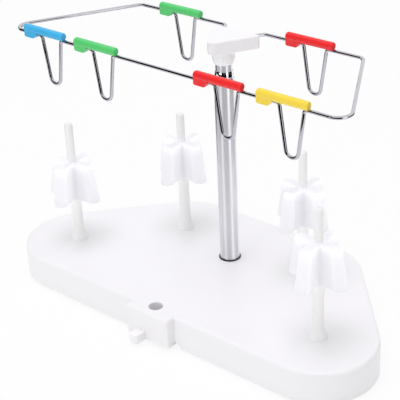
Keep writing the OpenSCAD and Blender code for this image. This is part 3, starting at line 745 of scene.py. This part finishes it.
def tapered_clover(inset, foot, top):
    """Four lobes on arms with hollow blends between, drawn in plan and then drawn up and narrowed."""
    lobe_r = LOBE_R - inset
    arm_half = LOBE_ARM_HALF - inset
    blend_r = VALLEY_BLEND_R + inset
    blend_out = arm_half + blend_r
    neck_x = LOBE_OFFSET - math.sqrt((lobe_r + blend_r) ** 2 - blend_out ** 2)
    neck_turn = math.degrees(math.acos(blend_out / (lobe_r + blend_r)))
    up = (0, 0, 1)
    piece = start_point((blend_out, -arm_half, foot))
    for quarter in range(4):
        turn = Matrix.Rotation(math.radians(90 * quarter), 3, "Z")
        draw_out(turn @ Vector((neck_x - blend_out, 0, 0)))
        draw_round(turn @ Vector((neck_x, -blend_out, foot)), up, -neck_turn)
        draw_round(turn @ Vector((LOBE_OFFSET, 0, foot)), up, 180 + 2 * neck_turn)
        draw_round(turn @ Vector((neck_x, blend_out, foot)), up, -neck_turn)
        draw_out(turn @ Vector((blend_out - neck_x, 0, 0)))
        draw_round(turn @ Vector((blend_out, blend_out, foot)), up, -90)
    bpy.ops.mesh.select_all(action="SELECT")
    bpy.ops.mesh.remove_doubles(threshold=TINY)
    bpy.ops.mesh.edge_face_add()
    foot_share = holder_scale(foot)
    bpy.ops.transform.resize(value=(foot_share, foot_share, 1), center_override=(0, 0, foot))
    draw_out((0, 0, top - foot))
    top_share = holder_scale(top) / foot_share
    bpy.ops.transform.resize(value=(top_share, top_share, 1), center_override=(0, 0, top))
    bpy.ops.mesh.select_all(action="SELECT")
    bpy.ops.mesh.normals_make_consistent(inside=False)
    idle()
    return piece


def cone_holder():
    """A four-lobed cone that is closed at its top, with a hub that slips over a pin."""
    piece = tapered_clover(0, 0, HOLDER_H)
    round_edges(piece, lambda e: lies_at(e, 2, HOLDER_H), HOLDER_EDGE_R, segments=4)
    combine(piece, tapered_clover(HOLDER_WALL, -OVERCUT, HOLDER_H - HOLDER_WALL), "DIFFERENCE")
    hub_top = HOLDER_H - HOLDER_WALL / 2
    combine(piece, turned(0, 0, [(HUB_R, 0), (HUB_R * holder_scale(hub_top), hub_top)], sides=64), "UNION")
    widening = OVERCUT * (HOLDER_BORE_FOOT_R - HOLDER_BORE_TOP_R) / HOLDER_H
    combine(piece, turned(0, 0, [
        (HOLDER_BORE_FOOT_R + widening, -OVERCUT), (HOLDER_BORE_TOP_R - widening, HOLDER_H + OVERCUT)
    ], sides=64), "DIFFERENCE")
    return piece


def cone_holders():
    """Four holders, each at its own height and turn on its pin."""
    pattern = cone_holder()
    for name, p in pins.items():
        seat, _ = node_box(name + "_cone_holder")
        holder = copied(pattern)
        holder.rotation_euler.z = math.radians(HOLDER_TURNS[name])
        moved(holder, (p.x, p.y, seat.z))
        completed(
            holder, name + "_holder_cone", name + "_holder", frosted_polypropylene,
            [name + "_cone_holder"],
        )
    bpy.data.objects.remove(pattern)


def head_moulding():
    """The head: a soft-edged triangle with a round nose, over a collar that swells from the tube."""
    corner_x = HEAD_W / 2 - HEAD_CORNER_R
    corner_y = HEAD_BACK - HEAD_CORNER_R
    pucks = [
        (0, NOSE_R - HEAD_NOSE, NOSE_R),
        (corner_x, corner_y, HEAD_CORNER_R),
        (-corner_x, corner_y, HEAD_CORNER_R),
    ]
    head = wrapped_pucks(pucks, head_foot_z, head_high.z, HEAD_EDGE_R, HEAD_EDGE_R, sides=64)
    swell = COLLAR_R - COLLAR_FOOT_R
    bulge_r = (swell ** 2 + COLLAR_SWELL_H ** 2) / (2 * swell)
    reach = math.degrees(math.asin(COLLAR_SWELL_H / bulge_r))
    collar_z = head_foot_z - COLLAR_H
    combine(head, turned(0, 0, [
        *arc(COLLAR_R - bulge_r, collar_z + COLLAR_SWELL_H, bulge_r, -reach, 0, 10),
        (COLLAR_R, head_foot_z + COLLAR_ROOT),
    ]), "UNION")
    bore_low, bore_high = collar_z - OVERCUT, head_high.z - HEAD_ROOF
    combine(head, bar((0, 0, bore_low), (0, 0, bore_high), HEAD_BORE_R, sides=96), "DIFFERENCE")
    for side in (-1, 1):
        (inner, _), (outer, _) = wire_tail(side)
        combine(head, bar(inner, outer, WIRE_R + FIT_GAP), "DIFFERENCE")
    completed(head, "head_moulding", "thread_guide", white_abs, ["guide_head"])


def wire_tail(side):
    """The wire's end in the head, and its corner at the back rail, each as (corner, bend radius)."""
    slope = (TAIL_X - TAIL_ENTRY_X) / (RAIL_BACK - HEAD_BACK)
    end = Vector((side * (TAIL_ENTRY_X - slope * TAIL_DEPTH), HEAD_BACK - TAIL_DEPTH, rail_z))
    return (end, 0), (Vector((side * TAIL_X, RAIL_BACK, rail_z)), SHOULDER_R)


def eyelet(x, y, way):
    """The three corners of a V eyelet in the rail, walked towards +X or -X."""
    half = EYELET_W / 2
    drop = EYELET_H - EYELET_R
    slope = math.atan2(half, drop) - math.asin(EYELET_R / math.hypot(half, drop))
    return [
        (Vector((x - way * half, y, rail_z)), SHOULDER_R),
        (Vector((x, y, rail_z - half / math.tan(slope))), EYELET_R),
        (Vector((x + way * half, y, rail_z)), SHOULDER_R),
    ]


def clip_shift(node):
    """How much further right than a front clip a clip sits over its eyelet."""
    return BACK_CLIP_SHIFT if node.startswith("back") else 0


def clip_centre(node):
    """The place on the rail of the eyelet that a clip sits over."""
    low, high = node_box(node)
    return Vector((low.x + CLIP_LEFT - clip_shift(node), (low.y + high.y) / 2, rail_z))


CLIPS = {
    "front_outer_left_clip": ("blue_plastic", blue_polypropylene),
    "front_inner_left_clip": ("green_plastic", green_polypropylene),
    "front_inner_right_clip": ("red_plastic", red_polypropylene),
    "front_outer_right_clip": ("yellow_plastic", yellow_polypropylene),
    "back_right_clip": ("red_plastic", red_polypropylene),
    "back_left_clip": ("green_plastic", green_polypropylene),
}
eyelets = {node: clip_centre(node).x for node in CLIPS}


def wire_loop():
    """One wire, bent from a ring that is drawn along the rails and spun round each bend."""
    tail_left, leave_left = wire_tail(-1)
    tail_right, leave_right = wire_tail(1)
    path = [tail_left, leave_left, *eyelet(eyelets["back_left_clip"], RAIL_BACK, -1)]
    path.append((Vector((-BACK_RAIL_LEN / 2, RAIL_BACK, rail_z)), BACK_CORNER_R))
    path.append((Vector((-FRONT_RAIL_LEN / 2, -RAIL_FRONT, rail_z)), FRONT_CORNER_R))
    for node in CLIPS:
        if node.startswith("front"):
            path += eyelet(eyelets[node], -RAIL_FRONT, 1)
    path.append((Vector((FRONT_RAIL_LEN / 2, -RAIL_FRONT, rail_z)), FRONT_CORNER_R))
    path.append((Vector((BACK_RAIL_LEN / 2, RAIL_BACK, rail_z)), BACK_CORNER_R))
    path += [*eyelet(eyelets["back_right_clip"], RAIL_BACK, -1), leave_right, tail_right]

    start, first_way = path[0][0], path[1][0] - path[0][0]
    idle()
    bpy.ops.mesh.primitive_circle_add(
        vertices=20, radius=WIRE_R, location=start, rotation=first_way.to_track_quat("Z", "Y").to_euler()
    )
    wire = placed()
    edit(wire)
    draw_along(path)
    pick("edges", lambda e: e.is_boundary)
    bpy.ops.mesh.edge_face_add()
    completed(wire, "wire_loop", "thread_guide", chromed_wire, ["guide_wire"], smooth=50)


def clip_lug(arm_left):
    """The lug below a clip's left end: a slab with round corners and a slanted end that runs into the arm."""
    left, foot = arm_left + LUG_SETBACK, arm_left + LUG_LEN
    end, under = foot + LUG_SLANT, CLIP_RISE - CLIP_R
    back = -LUG_T / 2
    stub = end + LUG_BLEND_R / 2
    start = (left + LUG_START, CLIP_RISE, 0)
    outline = [
        start, (left, CLIP_RISE, 0), (left, -LUG_DROP, LUG_CORNER_R), (foot, -LUG_DROP, LUG_EDGE_R),
        (end, under, LUG_BLEND_R), (stub, under, 0), (stub, CLIP_RISE, 0), start,
    ]
    path = [(Vector((x, back, z)), radius) for x, z, radius in outline]
    lug = start_point(path[0][0])
    draw_along(path)
    bpy.ops.mesh.select_all(action="SELECT")
    bpy.ops.mesh.remove_doubles(threshold=TINY)
    bpy.ops.mesh.edge_face_add()
    draw_out((0, LUG_T, 0))
    bpy.ops.mesh.select_all(action="SELECT")
    bpy.ops.mesh.normals_make_consistent(inside=False)

    def outer_edge(edge):
        flat = lies_at(edge, 1, back) or lies_at(edge, 1, -back)
        return flat and middle(edge).z < CLIP_RISE - TINY and middle(edge).x < stub - TINY

    round_edges(lug, outer_edge, LUG_SOFT_R, segments=3)
    return lug


def thread_clip(shift):
    """A clip over an eyelet at the origin: a round arm above the wire, with a lug below its left end."""
    left, right = shift - CLIP_LEFT, shift + CLIP_RIGHT
    clip = bar((left, 0, CLIP_RISE), (right, 0, CLIP_RISE), CLIP_R)
    round_edges(clip, lambda e: lies_at(e, 0, left) or lies_at(e, 0, right), CLIP_END_R)
    combine(clip, clip_lug(left), "UNION")
    groove_r = WIRE_R + FIT_GAP
    combine(clip, bar((left - OVERCUT, 0, 0), (right + OVERCUT, 0, 0), groove_r), "DIFFERENCE")
    bend_x = -EYELET_W / 2 - SHOULDER_R
    slot_low = (bend_x, -groove_r, -2 * CLIP_R)
    combine(clip, box(slot_low, (right + OVERCUT, groove_r, 0)), "DIFFERENCE")
    return clip


def thread_clips():
    """Six clips, from one pattern for the front rail and one for the back."""
    patterns = {shift: thread_clip(shift) for shift in (0, BACK_CLIP_SHIFT)}
    for node, (slot, material) in CLIPS.items():
        clip = moved(copied(patterns[clip_shift(node)]), clip_centre(node))
        completed(clip, node + "_moulding", "thread_guide", material, [node])
    for pattern in patterns.values():
        bpy.data.objects.remove(pattern)


base_moulding()
spool_pins()
mast_tubes()
# The black ring at the mast's foot is painted shade, standing in for the shadow line there
painted_shade_ring()
cone_holders()
head_moulding()
wire_loop()
thread_clips()


# Camera at the photograph's place, which was found from the stand's own lines in it
CAMERA_PLACE = (0.48999, -0.56845, 0.48880)
AZIMUTH = math.radians(41.18)
ELEVATION = math.radians(28.25)
ROLL = math.radians(-2.61)
FOCAL_PIXELS = 1167.51
PICTURE_PIXELS = 400
SENSOR_MM = 36


def photo_camera():
    """The camera, turned to the photograph's azimuth, elevation and roll."""
    back = Vector((
        math.sin(AZIMUTH) * math.cos(ELEVATION), -math.cos(AZIMUTH) * math.cos(ELEVATION), math.sin(ELEVATION)
    ))
    level = Vector((math.cos(AZIMUTH), math.sin(AZIMUTH), 0))
    upright = back.cross(level)
    right = level * math.cos(ROLL) + upright * math.sin(ROLL)
    up = upright * math.cos(ROLL) - level * math.sin(ROLL)
    lens = bpy.data.cameras.new("photo_camera")
    lens.sensor_width = SENSOR_MM
    lens.lens = FOCAL_PIXELS * SENSOR_MM / PICTURE_PIXELS
    lens.clip_start = 0.01
    camera = bpy.data.objects.new("photo_camera", lens)
    bpy.context.scene.collection.objects.link(camera)
    axes = Matrix((right, up, back)).transposed().to_4x4()
    camera.matrix_world = Matrix.Translation(CAMERA_PLACE) @ axes
    bpy.context.scene.camera = camera


photo_camera()


# Studio: a white floor and surround that the camera, metal and milky plastic all see as white
FLOOR_SIZE = 8
FLOOR_GLOW = 0.88
FILL_LIGHT = 0.56


def seen_directly(tree):
    """1 for rays from the camera, off a mirror or through milky plastic, 0 for the light on the stand."""
    path = add(tree, "ShaderNodeLightPath")
    mirror = add(tree, "ShaderNodeMath", {
        0: path.outputs["Is Camera Ray"], 1: path.outputs["Is Glossy Ray"]
    }, operation="MAXIMUM")
    return add(tree, "ShaderNodeMath", {
        0: mirror.outputs[0], 1: path.outputs["Is Transmission Ray"]
    }, operation="MAXIMUM").outputs[0]


def studio_floor():
    """White paper that keeps the stand's shadow."""
    made, tree = blank("studio_paper")
    share = add(tree, "ShaderNodeMath", {0: seen_directly(tree), 1: FLOOR_GLOW}, operation="MULTIPLY")
    paper = add(tree, "ShaderNodeBsdfDiffuse", {"Color": linear("#F8F8F8")})
    glow = add(tree, "ShaderNodeEmission", {"Color": (1, 1, 1, 1), "Strength": 1})
    both = add(tree, "ShaderNodeMixShader", {0: share.outputs[0], 1: paper.outputs[0], 2: glow.outputs[0]})
    add(tree, "ShaderNodeOutputMaterial", {"Surface": both.outputs[0]})
    idle()
    bpy.ops.mesh.primitive_plane_add(size=FLOOR_SIZE, location=(0, 0, cad_low.z))
    floor = bpy.context.object
    floor.name = "studio_floor"
    floor.data.materials.append(made)


def studio_world():
    """An even white surround, dimmer as a light than it looks."""
    world = bpy.data.worlds.new("studio")
    bpy.context.scene.world = world
    world.use_nodes = True
    tree = world.node_tree
    tree.nodes.clear()
    strength = add(tree, "ShaderNodeMapRange", {
        "Value": seen_directly(tree), "To Min": FILL_LIGHT, "To Max": 1,
    })
    white = add(tree, "ShaderNodeBackground", {"Color": (1, 1, 1, 1), "Strength": strength.outputs[0]})
    add(tree, "ShaderNodeOutputWorld", {"Surface": white.outputs[0]})


def softbox(name, place, aim, size, watts, tint="#FFFFFF", mirrored=True):
    """A round soft lamp aimed at a point, which mirrors may or may not show."""
    lamp = bpy.data.lights.new(name, "AREA")
    lamp.color = linear(tint)[:3]
    lamp.shape = "DISK"
    lamp.size = size
    lamp.energy = watts
    shade = bpy.data.objects.new(name, lamp)
    shade.visible_glossy = mirrored
    bpy.context.scene.collection.objects.link(shade)
    away = Vector(place) - Vector(aim)
    shade.matrix_world = Matrix.Translation(place) @ away.to_track_quat("Z", "Y").to_matrix().to_4x4()


def around(angle, radius, height):
    """A place round the stand, by its compass angle in degrees from the right-hand side."""
    turn = math.radians(angle)
    return radius * math.cos(turn), radius * math.sin(turn), height


def dark_flag(name, near, far, start, end):
    """A black card round the stand between two compass angles and two places (radius, height).

    Only reflections see it: it draws the dark lines along the chrome.
    """
    made, tree = blank(name + "_cloth")
    cloth = add(tree, "ShaderNodeBsdfDiffuse", {"Color": linear("#101010")})
    add(tree, "ShaderNodeOutputMaterial", {"Surface": cloth.outputs[0]})
    first = Vector(around(start, *near))
    flag = start_point(first)
    draw_out(Vector(around(start, *far)) - first)
    bpy.ops.mesh.select_all(action="SELECT")
    draw_round((0, 0, 0), (0, 0, 1), end - start)
    idle()
    flag.name = name
    flag.data.materials.append(made)
    flag.visible_camera = flag.visible_diffuse = flag.visible_shadow = flag.visible_transmission = False


# Compass angles of the two low lamps, of the gap that cards leave beside a lamp, and of the line at the left
# where two cards meet, in degrees
FRONT_LIGHT = -96
RIGHT_LIGHT = -9
LAMP_GAP = 12
CARDS_MEET = -125
# Distances from the stand's middle, heights and sizes, in metres
TOP_PLACE = (-0.16, -0.16, 2.5)
TOP_SIZE = 2
LAMP_R = 0.8
LAMP_Z = 0.14
LAMP_SIZE = 0.36
CARD_R = 0.38
HIGH_CARD_R = 0.55
CARD_LOW = 0.1
CARD_TOP = 0.24
FLOOR_GAP = 0.003

studio_floor()
studio_world()
softbox("top_softbox", TOP_PLACE, (0, 0, 0), TOP_SIZE, watts=29.5, tint="#FCFAFF", mirrored=False)
softbox("front_softbox", around(FRONT_LIGHT, LAMP_R, LAMP_Z), (0, 0, LAMP_Z), LAMP_SIZE, watts=0.85)
softbox("right_softbox", around(RIGHT_LIGHT, LAMP_R, LAMP_Z), (0, 0, LAMP_Z), LAMP_SIZE, watts=0.3)
dark_flag("high_flag", (HIGH_CARD_R, 0.16), (HIGH_CARD_R, 0.9), -165, FRONT_LIGHT + 10)
dark_flag("floor_flag", (CARD_R, FLOOR_GAP), (CARD_R, 0.125), CARDS_MEET, RIGHT_LIGHT - LAMP_GAP)
dark_flag("left_flag", (CARD_R, 0.09), (CARD_R, CARD_TOP), -200, CARDS_MEET)
dark_flag("front_flag", (CARD_R, CARD_LOW), (CARD_R, CARD_TOP), CARDS_MEET, FRONT_LIGHT - LAMP_GAP)
dark_flag("middle_flag", (CARD_R, CARD_LOW), (CARD_R, 0.4), FRONT_LIGHT + LAMP_GAP, RIGHT_LIGHT - LAMP_GAP)
dark_flag("right_flag", (CARD_R, FLOOR_GAP), (CARD_R, CARD_TOP), RIGHT_LIGHT + LAMP_GAP, 60)
dark_flag("back_card", (0.27, 0.002), (0.7, 0.002), 110, 200)

bpy.context.scene.view_settings.view_transform = "Standard"
